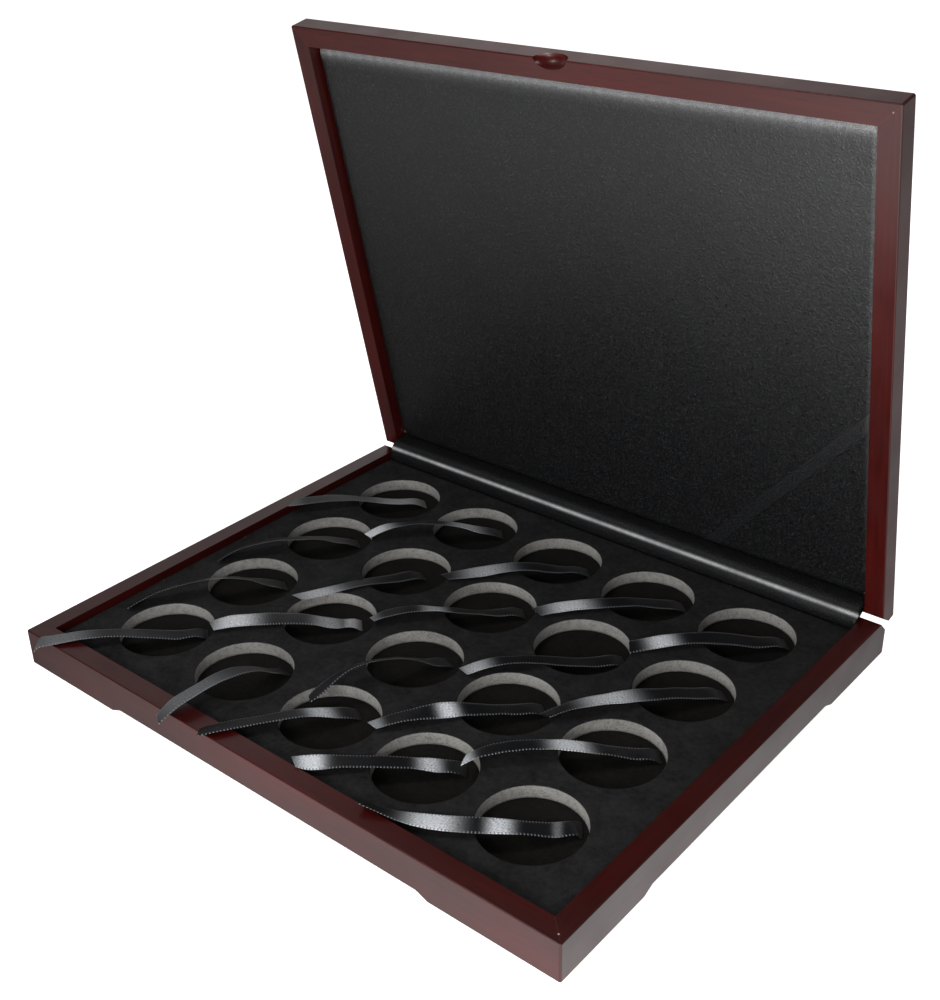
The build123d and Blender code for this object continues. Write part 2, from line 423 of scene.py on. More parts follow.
bottomBoard = {
    "dark": (0.020, 0.013, 0.011, 1),
    "light": (0.055, 0.036, 0.028, 1),
    "roughness": 0.72,
    "fibreDepth": 0.05,
}
flock = {
    "dark": (0.0034, 0.0033, 0.0036, 1),
    "light": (0.0320, 0.0315, 0.0325, 1),
    "lint": (0.40, 0.38, 0.35, 1),
    "lintSize": 0.16,
    "lintSpacing": 26.0,
    "pile": 0.10,
}
floorFlock = {
    "dark": (0.0048, 0.0044, 0.0038, 1),
    "light": (0.015, 0.014, 0.0125, 1),
    "lintSpacing": 60.0,
}
foam = {
    "dark": (0.13, 0.127, 0.119, 1),
    "light": (0.35, 0.342, 0.322, 1),
    "cell": 0.55,
    "depth": 0.10,
    "coat": (0.42, 0.12),  # the flock starts and is whole this far below the face, give or take the next
    "coatWander": 0.3,
    "rim": 0.55,  # the flock rounds the edges of the holes by this
    "edge": 1.1,  # and the tray's own edges by this
    "dips": 0.09,
    "rag": 0.06,  # how far the cut wall wanders
    "perSide": 26,
    "wallSteps": 7,
    "rimSteps": 6,
    "faceSteps": 12,
}
holes = {"radius": 23.6, "pitch": 57.5, "columns": 5, "rows": 4}


def makeBottomBoard():
    material, tree, shader, place = startMaterial("bottom_board_stain")
    grain = useGroup(tree, grainGroup, {"Place": place})
    fibres = noise(tree, place, 900.0, 3.0, 0.6)
    mix = calc(tree, "MULTIPLY_ADD", fibres, 0.5, calc(tree, "MULTIPLY", grain["Figure"], 0.5))
    colour = tint(tree, mix, bottomBoard["dark"], bottomBoard["light"])
    normal = bump(tree, fibres, bottomBoard["fibreDepth"] * mm, 0.6)
    setInputs(tree, shader, {"Base Color": colour, "Roughness": bottomBoard["roughness"], "Normal": normal})
    return material


def flockTone(tree, place, look):
    # short black fibres: fine noise for the pile, broad noise for where it is brushed, and lint
    pile = noise(tree, place, 2600.0, 2.0, 0.6)
    brushed = noise(tree, place, 85.0, 3.0, 0.6)
    blotch = noise(tree, place, 420.0, 2.0, 0.6)
    mix = calc(tree, "MULTIPLY_ADD", pile, 0.40, calc(tree, "MULTIPLY", brushed, 0.30))
    mix = calc(tree, "MULTIPLY_ADD", blotch, 0.30, mix)
    colour = tint(tree, remap(tree, mix, 0.33, 0.67), look["dark"], look["light"])
    sizes = {"Spacing": look["lintSpacing"] * mm, "Size": flock["lintSize"] * mm}
    lint = useGroup(tree, speckGroup, {"Place": place, **sizes})
    return tint(tree, lint["Mask"], colour, flock["lint"]), calc(tree, "MULTIPLY_ADD", blotch, 0.8, pile)


def makeFloorFlock():
    material, tree, shader, place = startMaterial("recess_floor_flock")
    colour, height = flockTone(tree, place, floorFlock)
    normal = bump(tree, height, flock["pile"] * mm, 0.7)
    constants = {"Roughness": 0.95, "Specular IOR Level": 0.15}
    setInputs(tree, shader, {**constants, "Base Color": colour, "Normal": normal})
    return material


def makeTrayCoat():
    # flock on the face and over the rims, and below it cut foam: small cells of differing grey,
    # each a shallow pit
    material, tree, shader, place = startMaterial("flocked_foam")
    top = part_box("foam_insert")[1][2]
    cells = addNode(tree, "TexVoronoi", {"Vector": place, "Scale": 1 / (foam["cell"] * mm)})
    shade = addNode(tree, "SeparateColor", {0: cells.outputs["Color"]}).outputs[0]
    patches = noise(tree, place, 320.0, 3.0, 0.6)
    mix = calc(tree, "MULTIPLY_ADD", shade, 0.35, calc(tree, "MULTIPLY", patches, 0.75))
    cut = tint(tree, remap(tree, mix, 0.14, 0.62), foam["dark"], foam["light"])
    pile, height = flockTone(tree, place, flock)
    level = addNode(tree, "SeparateXYZ", {0: place}).outputs[2]
    level = calc(tree, "MULTIPLY_ADD", noise(tree, place, 900.0), foam["coatWander"] * mm, level)
    coated = remap(tree, level, *(top - below * mm for below in foam["coat"]))
    colour = tint(tree, coated, cut, pile)
    relief = calc(tree, "MULTIPLY", cells.outputs["Distance"], calc(tree, "SUBTRACT", 1.0, coated))
    relief = calc(tree, "MULTIPLY_ADD", height, coated, relief)
    normal = bump(tree, relief, foam["depth"] * mm, 0.7)
    constants = {"Roughness": 0.93, "Specular IOR Level": 0.2}
    setInputs(tree, shader, {**constants, "Base Color": colour, "Normal": normal})
    return material


def makeTray():
    # each hole has a square cell: rays from its centre reach even steps along the cell's sides, so
    # that neighbours share their border; along a ray the skin climbs the wall, rounds the rim by a
    # quarter circle and crosses the face, which dips a little and falls off round the tray's edge
    low, high = (np.array(corner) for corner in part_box("foam_insert"))
    radius, pitch = holes["radius"] * mm, holes["pitch"] * mm
    rim, edge = foam["rim"] * mm, foam["edge"] * mm
    tall = high[2] - low[2]
    along = np.linspace(0, 1, foam["perSide"], endpoint=False)
    square = np.concatenate([
        np.stack([along, 0 * along], -1), np.stack([0 * along + 1, along], -1),
        np.stack([1 - along, 0 * along + 1], -1), np.stack([0 * along, 1 - along], -1),
    ])
    climb = np.linspace(0, 1, foam["wallSteps"])
    turn = np.linspace(0, pi / 2, foam["rimSteps"] + 1)[1:]
    spread = (1 - np.cos(pi * np.linspace(0, 1, foam["faceSteps"] + 1)[1:])) / 2
    outward = np.concatenate([0 * climb, rim * (1 - np.cos(turn))])
    wallTop = high[2] - rim - low[2]
    upward = np.concatenate([climb * wallTop, wallTop + rim * np.sin(turn)])
    rise = np.concatenate([upward, np.full(len(spread), tall)])[:, None]
    count = len(square)
    shells = []
    for row in range(holes["rows"]):
        for column in range(holes["columns"]):
            centre = np.array([column - (holes["columns"] - 1) / 2, (holes["rows"] - 1) / 2 - row]) * pitch
            left = low[0] if column == 0 else centre[0] - pitch / 2
            right = high[0] if column == holes["columns"] - 1 else centre[0] + pitch / 2
            front = low[1] if row == holes["rows"] - 1 else centre[1] - pitch / 2
            back = high[1] if row == 0 else centre[1] + pitch / 2
            border = np.array([left, front]) + square * np.array([right - left, back - front])
            ray = unit(border - centre)
            wall = centre + (radius + outward)[:, None, None] * ray
            face = wall[-1] + spread[:, None, None] * (border - wall[-1])
            plan = np.concatenate([wall, face])
            x, y = plan[..., 0], plan[..., 1]
            inside = np.minimum(np.minimum(x - low[0], high[0] - x), np.minimum(y - low[1], high[1] - y))
            fall = 1 - quarterCircle(inside / edge)
            dip = foam["dips"] * mm * (1 + ripple(x + 0.3 * y, 0.041, 41) * ripple(y - 0.2 * x, 0.037, 42))
            z = low[2] + rise - np.clip(rise / tall, 0, 1) * dip - edge * fall * (rise >= rise.max())
            arc = np.arctan2(ray[:, 1], ray[:, 0]) * 0.024
            rag = foam["rag"] * mm * ripple(arc, 0.009, 50 + row * 5 + column)
            plan[: len(climb)] += (rag[None, :] * np.sin(pi * climb)[:, None])[..., None] * ray
            skin = np.concatenate([plan, z[..., None]], axis=-1)
            under = np.concatenate([plan[[0, -1]], np.full((2, count, 1), low[2])], axis=-1)
            shells.append(surface("tray_skin", skin, loop=True))
            shells.append(surface("tray_under", under, loop=True))
            onEdge = np.isclose(inside[-1], 0, atol=1e-7)
            first = np.flatnonzero(onEdge & np.roll(onEdge, -1))
            after = (first + 1) % count
            quads = np.stack([first, after, after + count, first + count], axis=-1)
            mesh = bpy.data.meshes.new("tray_skirt")
            mesh.from_pydata(np.concatenate([skin[-1], under[-1]]).tolist(), [], quads.tolist())
            shells.append(putIn("tray_skirt", mesh))
    return joinShells(shells, "flocked_foam_tray")


dress(nodes["base_bottom_panel"], makeBottomBoard())
dress(nodes["recess_floor_board"], makeFloorFlock())
tray = makeTray()
dress(tray, makeTrayCoat())
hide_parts("foam_insert")
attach(tray, "base")
print("tray done")

brass = {
    "bright": (0.62, 0.44, 0.17, 1),
    "dull": (0.30, 0.20, 0.08, 1),
    "roughness": (0.24, 0.46),
    "lineDepth": 0.01,
}
card = {"dark": (0.20, 0.18, 0.155, 1), "light": (0.34, 0.315, 0.28, 1), "roughness": 0.88, "pulpDepth": 0.04}


def makeBrass():
    # drawn brass with fine lines along X and brown tarnish
    material, tree, shader, place = startMaterial("hinge_brass_drawn")
    lines = noise(tree, place, (120, 5200, 5200), 2.0, 0.5)
    tarnish = noise(tree, place, 380.0, 4.0, 0.65)
    colour = tint(tree, remap(tree, tarnish, 0.42, 0.72), brass["bright"], brass["dull"])
    gloss = remap(tree, lines, 0.3, 0.7, *brass["roughness"])
    normal = bump(tree, lines, brass["lineDepth"] * mm, 0.5)
    setInputs(tree, shader, {"Metallic": 1.0, "Base Color": colour, "Roughness": gloss, "Normal": normal})
    return material


def makeCard():
    # grey board with pulp flecks
    material, tree, shader, place = startMaterial("lining_card_pulp")
    pulp = noise(tree, place, 700.0, 4.0, 0.7)
    colour = tint(tree, remap(tree, pulp, 0.3, 0.7), card["dark"], card["light"])
    normal = bump(tree, pulp, card["pulpDepth"] * mm)
    setInputs(tree, shader, {"Base Color": colour, "Roughness": card["roughness"], "Normal": normal})
    return material


brassMaterial = makeBrass()
for side in ("left", "right"):
    for part in ("base_leaf", "lid_leaf", "pin"):
        dress(nodes[f"hinge_{side}_{part}"], brassMaterial)
dress(nodes["lid_lining_card"], makeCard())
print("hinges done")

# black satin for the lid's pad, the strip over the hinges and the corner band
satin = {
    "tone": 1.0,
    "dark": (0.0028, 0.0029, 0.0034, 1),
    "light": (0.0045, 0.0047, 0.0054, 1),
    "roughness": 0.36,
    "roughnessSpread": 0.09,
    "pitch": 0.42,
    "relief": 0.05,
    # the colour of the painted highlight
    "paintedHighlight": (0.95, 0.96, 0.98, 1),
    "specular": 0.62,
    "mottleDepth": 0.09,
    "fleck": (0.040, 0.041, 0.044, 1),
}


def makeSatin(name, space, changes=None):
    # woven threads under a mottle with paler flecks, and on top a painted highlight where the vertices carry
    # one
    look = {**satin, **(changes or {})}
    material, tree, shader, place = startMaterial(name, space)
    weave = useGroup(tree, satinGroup, {"Place": place, "Pitch": look["pitch"] * mm})
    cloud = noise(tree, place, 60.0, 3.0, 0.6)
    mottle = remap(tree, noise(tree, place, 800.0, 3.0, 0.75), 0.34, 0.66)
    mix = calc(tree, "MULTIPLY_ADD", mottle, 0.7, calc(tree, "MULTIPLY", cloud, 0.3))
    colour = tint(tree, mix, toned(look["dark"], look["tone"]), toned(look["light"], look["tone"]))
    flecks = remap(tree, noise(tree, place, 1300.0, 2.0, 0.7), 0.53, 0.70)
    colour = tint(tree, calc(tree, "MULTIPLY", flecks, look["tone"]), colour, look["fleck"])
    # painted highlight: a near-white mixed into the colour where the vertices carry it, broken by fine grain
    paintedHighlight = addNode(tree, "Attribute", attribute_name="painted_highlight_share").outputs["Fac"]
    highlightGrain = remap(tree, noise(tree, place, 2600.0, 1.0, 0.6), 0.35, 0.65, 0.35, 1.0)
    colour = tint(tree, calc(tree, "MULTIPLY", paintedHighlight, highlightGrain), colour, look["paintedHighlight"])
    middle, spread = look["roughness"], look["roughnessSpread"]
    rough = remap(tree, mottle, 0.0, 1.0, middle + spread, middle - spread)
    height = calc(tree, "MULTIPLY_ADD", mottle, look["mottleDepth"] / look["relief"], weave["Relief"])
    normal = bump(tree, height, look["relief"] * mm, 0.8)
    constants = {"Specular IOR Level": look["specular"]}
    setInputs(tree, shader, {**constants, "Base Color": colour, "Roughness": rough, "Normal": normal})
    return material


pad = {
    "edge": 4.0,  # how far in from its sides the face rolls over
    "corner": 6.0,
    "billow": 0.22,
    "billowEase": 5,  # it is whole this many edges in from the rim
    "pucker": 0.10,
    "puckerPitch": 7.0,
    "puckerReach": 2.2,
    "edgeHighlight": 0.42,  # a highlight painted along the pad's rolled edge at the finger scoop's side
    "edgeReach": 4.0,
    "edgeFade": 1.7,
    "edgePitch": 5.0,
    "rows": 170,
    "columns": 210,
}


def edgeSpacing(count):
    # values from -1 to 1 that crowd together at both ends: the sine of evenly spaced angles, eased
    t = np.linspace(-1, 1, count)
    return 0.55 * np.sin(t * pi / 2) + 0.45 * np.sin(np.sin(t * pi / 2) * pi / 2)


def makePad():
    # a closed pillow: front face z = back - thickness * quarter circle of the distance from the rim,
    # plus a slow billow and the rim's puckers; the plan is a rectangle whose corners are squares
    # mapped to quarter discs
    low, high = closedBox("lid_lining")
    halfX, halfY = (high[0] - low[0]) / 2, (high[1] - low[1]) / 2
    middleY = (high[1] + low[1]) / 2
    corner, edge = pad["corner"] * mm, pad["edge"] * mm
    u, v = np.meshgrid(edgeSpacing(pad["columns"]), edgeSpacing(pad["rows"]))
    x, y = u * halfX, v * halfY
    a = np.clip((np.abs(x) - halfX + corner) / corner, 0, 1)
    b = np.clip((np.abs(y) - halfY + corner) / corner, 0, 1)
    roundA, roundB = a * np.sqrt(1 - b * b / 2), b * np.sqrt(1 - a * a / 2)
    planX = np.sign(x) * (np.abs(x) + corner * (roundA - a))
    planY = np.sign(y) * (np.abs(y) + corner * (roundB - b))
    inside = np.minimum(halfX - np.abs(x), halfY - np.abs(y))
    inside = np.where((a > 0) & (b > 0), corner * (1 - np.hypot(roundA, roundB)), inside)
    inside = np.clip(inside, 0, None)
    rise = quarterCircle(inside / edge)
    thick = high[2] - low[2]
    along = np.where(halfX - np.abs(x) < halfY - np.abs(y), planY, planX)
    gather = ripple(along, pad["puckerPitch"] * mm, 5) * np.exp(-inside / (pad["puckerReach"] * edge))
    gather *= np.clip(inside / edge, 0, 1)
    slow = ripple(planX, 0.11, 11) * ripple(planY, 0.13, 12) + 0.5 * ripple(planX + 0.7 * planY, 0.06, 13)
    billow = slow * np.clip(inside / (pad["billowEase"] * edge), 0, 1)
    front = high[2] - thick * rise + pad["billow"] * mm * billow + pad["pucker"] * mm * gather
    front = np.clip(front, low[2] - 0.2 * mm, high[2])
    sheets = []
    for name, depth in (("lid_lining_pad", front), ("lid_lining_rear", np.full_like(front, high[2]))):
        grid = openLid(np.stack([planX, planY + middleY, depth], axis=-1))
        sheets.append(surface(name, grid))
    pillow = joinShells(sheets, "lid_lining_pad")
    places = placesOf(pillow)
    start, ahead = openLid(np.array([[0, low[1], high[2]], [0, low[1] + 1, high[2]]]))
    below = (places - start) @ (ahead - start)
    # a painted highlight along the rolled top edge, broken along X and fading down the face
    highlightBreaks = 0.85 + 0.15 * ripple(places[:, 0], pad["edgePitch"] * mm, 31)
    highlightFade = np.exp(-np.clip(below - pad["edgeReach"] * mm, 0, None) / (pad["edgeFade"] * mm))
    givePaintedHighlight(pillow, pad["edgeHighlight"] * highlightBreaks * np.where(highlightFade > 0.02, highlightFade, 0))
    return pillow


liningPad = makePad()
dress(liningPad, makeSatin("lining_satin", "Object"))
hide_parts("lid_lining")
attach(liningPad, "lid")
print("pad done")

roll = {
    # the strip's line from behind the foam, over both rims, to behind the pad: y and z
    "line": [
        (122.6, 9.9), (122.3, 13.0), (122.0, 16.5), (122.3, 19.2), (123.2, 21.6), (124.7, 23.8),
        (126.8, 25.5), (129.6, 26.4), (132.8, 26.9), (135.8, 27.45),
    ],
    "thickness": 0.5,
    "wave": 0.28,
    "wavePitch": 34.0,
    "bulges": [(41.0, 0.35, 16.0), (-12.0, 0.30, 12.0), (-96.0, 0.22, 14.0), (112.0, 0.25, 10.0)],
    "crease": 12.7,  # where along the profile a highlight line is painted on the shoulder
    "creaseSpread": 0.85,
    "creaseHighlight": 1.0,
    "cloth": {"roughness": 0.40, "relief": 0.07, "specular": 0.25},
    "rows": 260,
    "columns": 80,
}


def makeRoll():
    # the profile is a spline by its own length, carried along X; a wave and a few bulges push it
    # out along its normal, most where it is bent over the rims
    line = np.array(roll["line"]) * mm
    run = np.concatenate([[0], np.cumsum(np.hypot(*np.diff(line, axis=0).T))])
    t = np.linspace(0, run[-1], roll["columns"])
    y, z = smoothThrough(run, line[:, 0], t), smoothThrough(run, line[:, 1], t)
    slopeY, slopeZ = np.gradient(y, t), np.gradient(z, t)
    length = np.hypot(slopeY, slopeZ)
    normalY, normalZ = -slopeZ / length, slopeY / length
    low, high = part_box("hinge_cover")
    x = np.linspace(low[0], high[0], roll["rows"])
    push = roll["wave"] * mm * ripple(x, roll["wavePitch"] * mm, 21)
    for place, height, reach in roll["bulges"]:
        push += height * mm * np.exp(-(((x - place * mm) / (reach * mm)) ** 2))
    loose = np.sin(pi * np.clip(t / run[-1], 0, 1)) ** 1.5
    shift = push[:, None] * loose[None, :]
    half = roll["thickness"] * mm / 2
    places = np.broadcast_to(x[:, None], shift.shape)
    layers = []
    for offset in (shift + half, shift - half):
        layers.append(np.stack([places, y + normalY * offset, z + normalZ * offset], axis=-1))
    ring = np.concatenate([layers[0], layers[1][:, ::-1]], axis=1)
    across = np.concatenate([t, t[::-1]])
    uv = pairs(x[:, None], across[None, :])
    piece = surface("hinge_cover_strip", ring, uv, loop=True, capped=True)
    # a painted highlight line along the roll's shoulder, wavering along X
    highlightAlong = roll["creaseHighlight"] * (0.80 + 0.20 * ripple(x, 30.0 * mm, 41))
    highlightAlong *= 0.9 + 0.1 * ripple(x, 4.0 * mm, 42)
    highlightAcross = np.exp(-(((across / mm - roll["crease"]) / roll["creaseSpread"]) ** 2))
    givePaintedHighlight(piece, np.concatenate([(highlightAlong[:, None] * highlightAcross[None, :]).ravel(), [0, 0]]))
    return piece, run[-1], float(high[0] - low[0])


hingeStrip, stripWidth, stripLength = makeRoll()
dress(hingeStrip, makeSatin("strip_satin", "UV", roll["cloth"]))
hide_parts("hinge_cover")
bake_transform(hingeStrip)
print("hinge strip done")

band = {
    "width": 7.0,
    "thick": 0.35,
    "sideEnd": (154.4, 16.0),  # where it goes in behind the pad at the side, x and y with the lid shut
    "hingeEnd": (65.0, 122.2),  # and at the hinge edge
    "lift": 0.12,
    "tuck": 2.0,  # how far past each end it goes on
    "wall": 0.1,  # and how near the lid's rails it comes
    "cloth": {"tone": 1.5, "roughness": 0.38, "relief": 0.07},
    "rows": 150,
    "columns": 24,
}


def makeBand():
    # a flat strap along a straight run over the pad's face; at both ends it follows the quarter
    # circle of the pad's rounded edge down, and all along it lies a slack above the cloth
    low, high = closedBox("lid_lining")
    start, end = np.array(band["sideEnd"]) * mm, np.array(band["hingeEnd"]) * mm
    run = end - start
    length = np.hypot(*run)
    ahead = run / length
    side = np.array([-ahead[1], ahead[0]])
    tuck = band["tuck"] * mm
    s = np.linspace(-tuck, length + tuck, band["rows"])
    angle = np.linspace(0, 2 * pi, band["columns"], endpoint=False)
    c, d = squarer(np.cos(angle), 0.5), squarer(np.sin(angle), 0.6)
    half = band["width"] * mm / 2
    x = start[0] + ahead[0] * s[:, None] + side[0] * half * c[None, :]
    y = start[1] + ahead[1] * s[:, None] + side[1] * half * c[None, :]
    limitX, limitY = high[0] - band["wall"] * mm, high[1] - band["wall"] * mm
    inside = np.minimum(limitX - x, limitY - y)
    face = high[2] - (high[2] - low[2]) * quarterCircle(inside / (pad["edge"] * mm))
    slack = band["lift"] * mm * (1 + ripple(s, 0.05, 31))[:, None]
    z = face - slack - 0.5 * band["thick"] * mm * (1 + d[None, :])
    x, y = np.minimum(x, limitX), np.minimum(y, limitY)
    grid = openLid(np.stack([x, y, z], axis=-1))
    uv = pairs(half * c[None, :], s[:, None])
    return surface("certificate_band_strap", grid, uv, loop=True, capped=True)


bandStrap = makeBand()
dress(bandStrap, makeSatin("band_satin", "UV", band["cloth"]))
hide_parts("certificate_band")
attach(bandStrap, "lid")
print("band done")

ribbon = {
    "width": 10.0,
    "thick": 0.34,
    "bead": 0.16,
    "beadOut": 0.06,
    "beadPitch": 1.45,
    "cup": 0.08,
    "leanWander": 1.0,
    "leanPitch": 21.0,
    "liftWander": 0.06,
    "liftPitch": 17.0,
    "free": (4, 16),  # it wanders from the first place on, and fully from the second
    "slantReach": 14,  # how far back from the tip its slanted cut is felt
    "ring": 22,
    "step": 0.32,
    "tab": 2.2,  # the glued end, before the place where it leaves the floor
    "settle": 20.0,  # the length over which it turns from flat to its lean
    "floor": 8.95,
    # the colour of the painted highlight
    "paintedHighlight": (0.91, 0.94, 0.98, 1),
    # the pale colour of the selvedge knots, a painted highlight on the beaded edge
    "knots": (0.27, 0.28, 0.295, 1),
    "dark": (0.0040, 0.0043, 0.0050, 1),
    "light": (0.014, 0.015, 0.0175, 1),
    "weave": 0.34,
    "weaveDepth": 0.07,
    "roughness": (0.46, 0.30),
    "specular": 0.24,
    "selvedge": (3.95, 4.2),  # from the middle line: where the knots begin and where they are whole
    "knotStart": (3, 9),  # and the same along the ribbon
    # the painted highlight is broken into slanted streaks of these scales
    "highlightStreaks": (2600.0, 700.0, 1.0),
    "streakTurn": 0.6,
}

# Each ribbon as it has fallen: where it leaves the recess floor, from the hole's centre; the bearing
# it runs off on; how far it bows to its left; the slant of its cut end; its reach, height and lean in
# degrees at a few places, with its left edge up where the lean is above zero; and where a highlight
# is painted on it: the middle, the spread to each side and how strongly.
ribbonLies = {
    "ribbon_r1c1": ((7.5, 11.1), 231, 0, 0.5, [
        (0, 9.9, 10), (13, 12.7, 12), (25, 15.1, 10), (36, 17.6, 10), (48, 19.8, 7), (60, 20.4, 4),
        (76, 20.3, 6)], [(14, 14, 0.37), (76, 6, 0.1)]),
    "ribbon_r1c2": ((8.8, 10.3), 228, 0, -0.4, [
        (0, 9.9, 8), (11, 13.9, 9), (22, 18.0, 13), (33, 20.6, 16), (45, 21.9, 22), (56, 22.0, 16),
        (66, 20.3, 8), (74, 16.6, 6)], [(19, 9, 0.51), (72, 11, 0.85)]),
    "ribbon_r1c3": ((13.7, 6.2), 229, 0, -0.3, [
        (0, 9.9, 13), (14, 13.5, 9), (25, 16.1, 4), (38, 18.1, 4), (57, 17.2, 1), (68, 16.8, 6),
        (76, 16.4, 14)], [(54, 13, 0.44)]),
    "ribbon_r1c4": ((14.4, 8.3), 229, 0, -0.3, [
        (0, 9.9, 5), (11, 13.0, 6), (21, 15.4, 6), (32, 16.8, 5), (47, 17.7, 3), (63, 17.8, 4),
        (75, 16.5, 6)], [(58, 11, 0.78)]),
    "ribbon_r1c5": ((14.3, 10.7), 227, 0, 0.2, [
        (0, 9.9, 9), (12, 12.2, 1), (22, 14.5, -2), (32, 16.6, -3), (45, 18.3, 1), (62, 18.0, 0),
        (77, 16.4, 0)], [(61, 7, 0.82)]),
    "ribbon_r2c1": ((8.7, 10.6), 239, 0, 0.3, [
        (0, 9.9, 15), (9, 13.8, 15), (20, 17.6, 17), (31, 19.8, 17), (47, 21.7, 24), (58, 21.3, 24),
        (67, 19.8, 26), (75, 16.5, 25)], []),
    "ribbon_r2c2": ((3.3, 6.9), 245, 1.5, -0.3, [
        (0, 9.9, 3), (12, 12.8, 6), (23, 14.6, 8), (35, 16.2, 12), (46, 16.5, 12), (57, 16.3, 8),
        (69, 16.6, 14)], [(58, 12, 0.54)]),
    "ribbon_r2c3": ((10.7, 11.1), 230, 0, -0.3, [
        (0, 9.9, 15), (10, 11.7, 17), (21, 13.3, 19), (31, 15.6, 17), (41, 18.1, 19), (52, 20.0, 14),
        (62, 20.0, 13), (72, 18.2, 14), (76, 16.6, 17)], [(44, 6, 0.51), (76, 4, 0.18)]),
    "ribbon_r2c4": ((17.4, 7.2), 231, 0, -0.3, [
        (0, 9.9, 8), (10, 11.4, 9), (20, 12.6, 9), (30, 14.8, 9), (40, 17.2, 11), (52, 19.2, 14),
        (68, 18.8, 11), (77, 16.4, 11)], [(71, 7, 0.51)]),
    "ribbon_r2c5": ((11.5, 13.4), 235, 0, -0.3, [
        (0, 9.9, 5), (10, 12.9, 6), (20, 15.2, 5), (30, 16.9, 5), (40, 18.4, 1), (55, 19.6, 8),
        (69, 20.0, 15), (78, 18.8, 20), (85, 17.0, 21)], [(55, 12, 0.71)]),
    "ribbon_r3c1": ((8.7, 12.2), 240, 0, 0.3, [
        (0, 9.9, 10), (6, 12.8, 14), (14, 16.4, 19), (22, 19.7, 22), (30, 21.8, 25), (46, 23.1, 26),
        (63, 21.6, 27), (73, 18.8, 26), (79, 16.5, 25)], [(34, 5, 0.12)]),
    "ribbon_r3c2": ((9.5, 10.0), 227, 0, -0.3, [
        (0, 9.9, 18), (9, 11.4, 9), (19, 14.0, 3), (29, 16.4, 1), (41, 17.8, -3), (55, 18.5, -3),
        (67, 18.0, -1), (73, 16.6, 4)], [(3, 4, 0.41), (15, 7, 0.34), (61, 11, 0.66)]),
    "ribbon_r3c3": ((9.2, 12.2), 250, 0, 0.2, [
        (0, 9.9, 10), (8, 13.0, 18), (15, 16.9, 20), (22, 20.6, 23), (31, 23.7, 28), (45, 26.0, 30),
        (53, 25.4, 29), (61, 22.2, 22), (67, 19.0, 17), (72, 16.5, 24)], []),
    "ribbon_r3c4": ((10.2, 10.4), 233, 0, -0.3, [
        (0, 9.9, 14), (9, 12.1, 13), (19, 13.9, 10), (28, 15.7, 5), (38, 17.8, -4), (48, 18.7, -7),
        (57, 18.9, 4), (67, 18.4, 11), (78, 16.5, 16)], [(43, 4.5, 0.78), (77, 4, 0.37)]),
    "ribbon_r3c5": ((12.0, 15.3), 226, 0, 0.2, [
        (0, 9.9, 18), (8, 11.7, 16), (17, 14.0, 12), (26, 16.6, 10), (36, 19.3, 10), (47, 21.2, 13),
        (60, 22.1, 13), (70, 21.4, 13), (79, 19.2, 18), (84, 16.6, 20)], [(38, 8, 1.0), (84, 4, 0.7)]),
    "ribbon_r4c1": ((11.3, 13.4), 234, 1.5, 0.2, [
        (0, 9.9, 14), (12, 12.2, 8), (21, 14.4, 7), (31, 16.9, 7), (40, 19.1, 9), (50, 20.5, 10),
        (59, 21.0, 8), (69, 20.5, 5), (76, 20.1, 4), (79, 19.5, 3), (81, 17.8, 3)], [(68, 14, 0.16)]),
    "ribbon_r4c2": ((8.8, 14.8), 265, 0, 0.3, [
        (0, 9.9, 24), (6, 13.8, 20), (12, 17.8, 12), (20, 22.0, 10), (28, 24.2, 8), (38, 25.2, 12),
        (48, 24.8, 13), (58, 23.9, 14), (65, 21.8, 20), (69, 19.8, 24)], [(50, 18, 0.14)]),
    "ribbon_r4c3": ((2.6, 13.1), 240, 0.4, 0.3, [
        (0, 9.9, 5), (8, 13.0, 9), (16, 15.6, 10), (25, 17.8, 14), (38, 19.0, 15), (53, 20.0, 15),
        (62, 20.4, 15), (71, 20.3, 16)], [(16, 6, 0.68)]),
    "ribbon_r4c4": ((8.9, 13.7), 224, 0, -0.2, [
        (0, 9.9, 13), (9, 12.4, 7), (18, 14.3, 8), (30, 16.2, 9), (44, 17.7, 9), (57, 18.6, 3),
        (66, 19.0, 1), (72, 19.9, 16)], [(14, 5, 0.75), (65, 6, 1.0)]),
    "ribbon_r4c5": ((12.6, 14.0), 216, 9, 0.3, [
        (0, 9.9, 14), (8, 11.8, 7), (16, 14.0, 6), (24, 16.3, 6), (33, 17.8, 3), (44, 18.5, 2),
        (56, 18.6, 5), (66, 18.6, 12), (75, 19.0, 25), (81, 19.7, 32), (87, 20.6, 34)],
        [(8, 2, 0.19), (31, 5, 0.9), (59, 10, 0.9)]),
}
overRim = ["ribbon_r1c1", "ribbon_r4c1", "ribbon_r4c2", "ribbon_r4c3", "ribbon_r4c4", "ribbon_r4c5"]


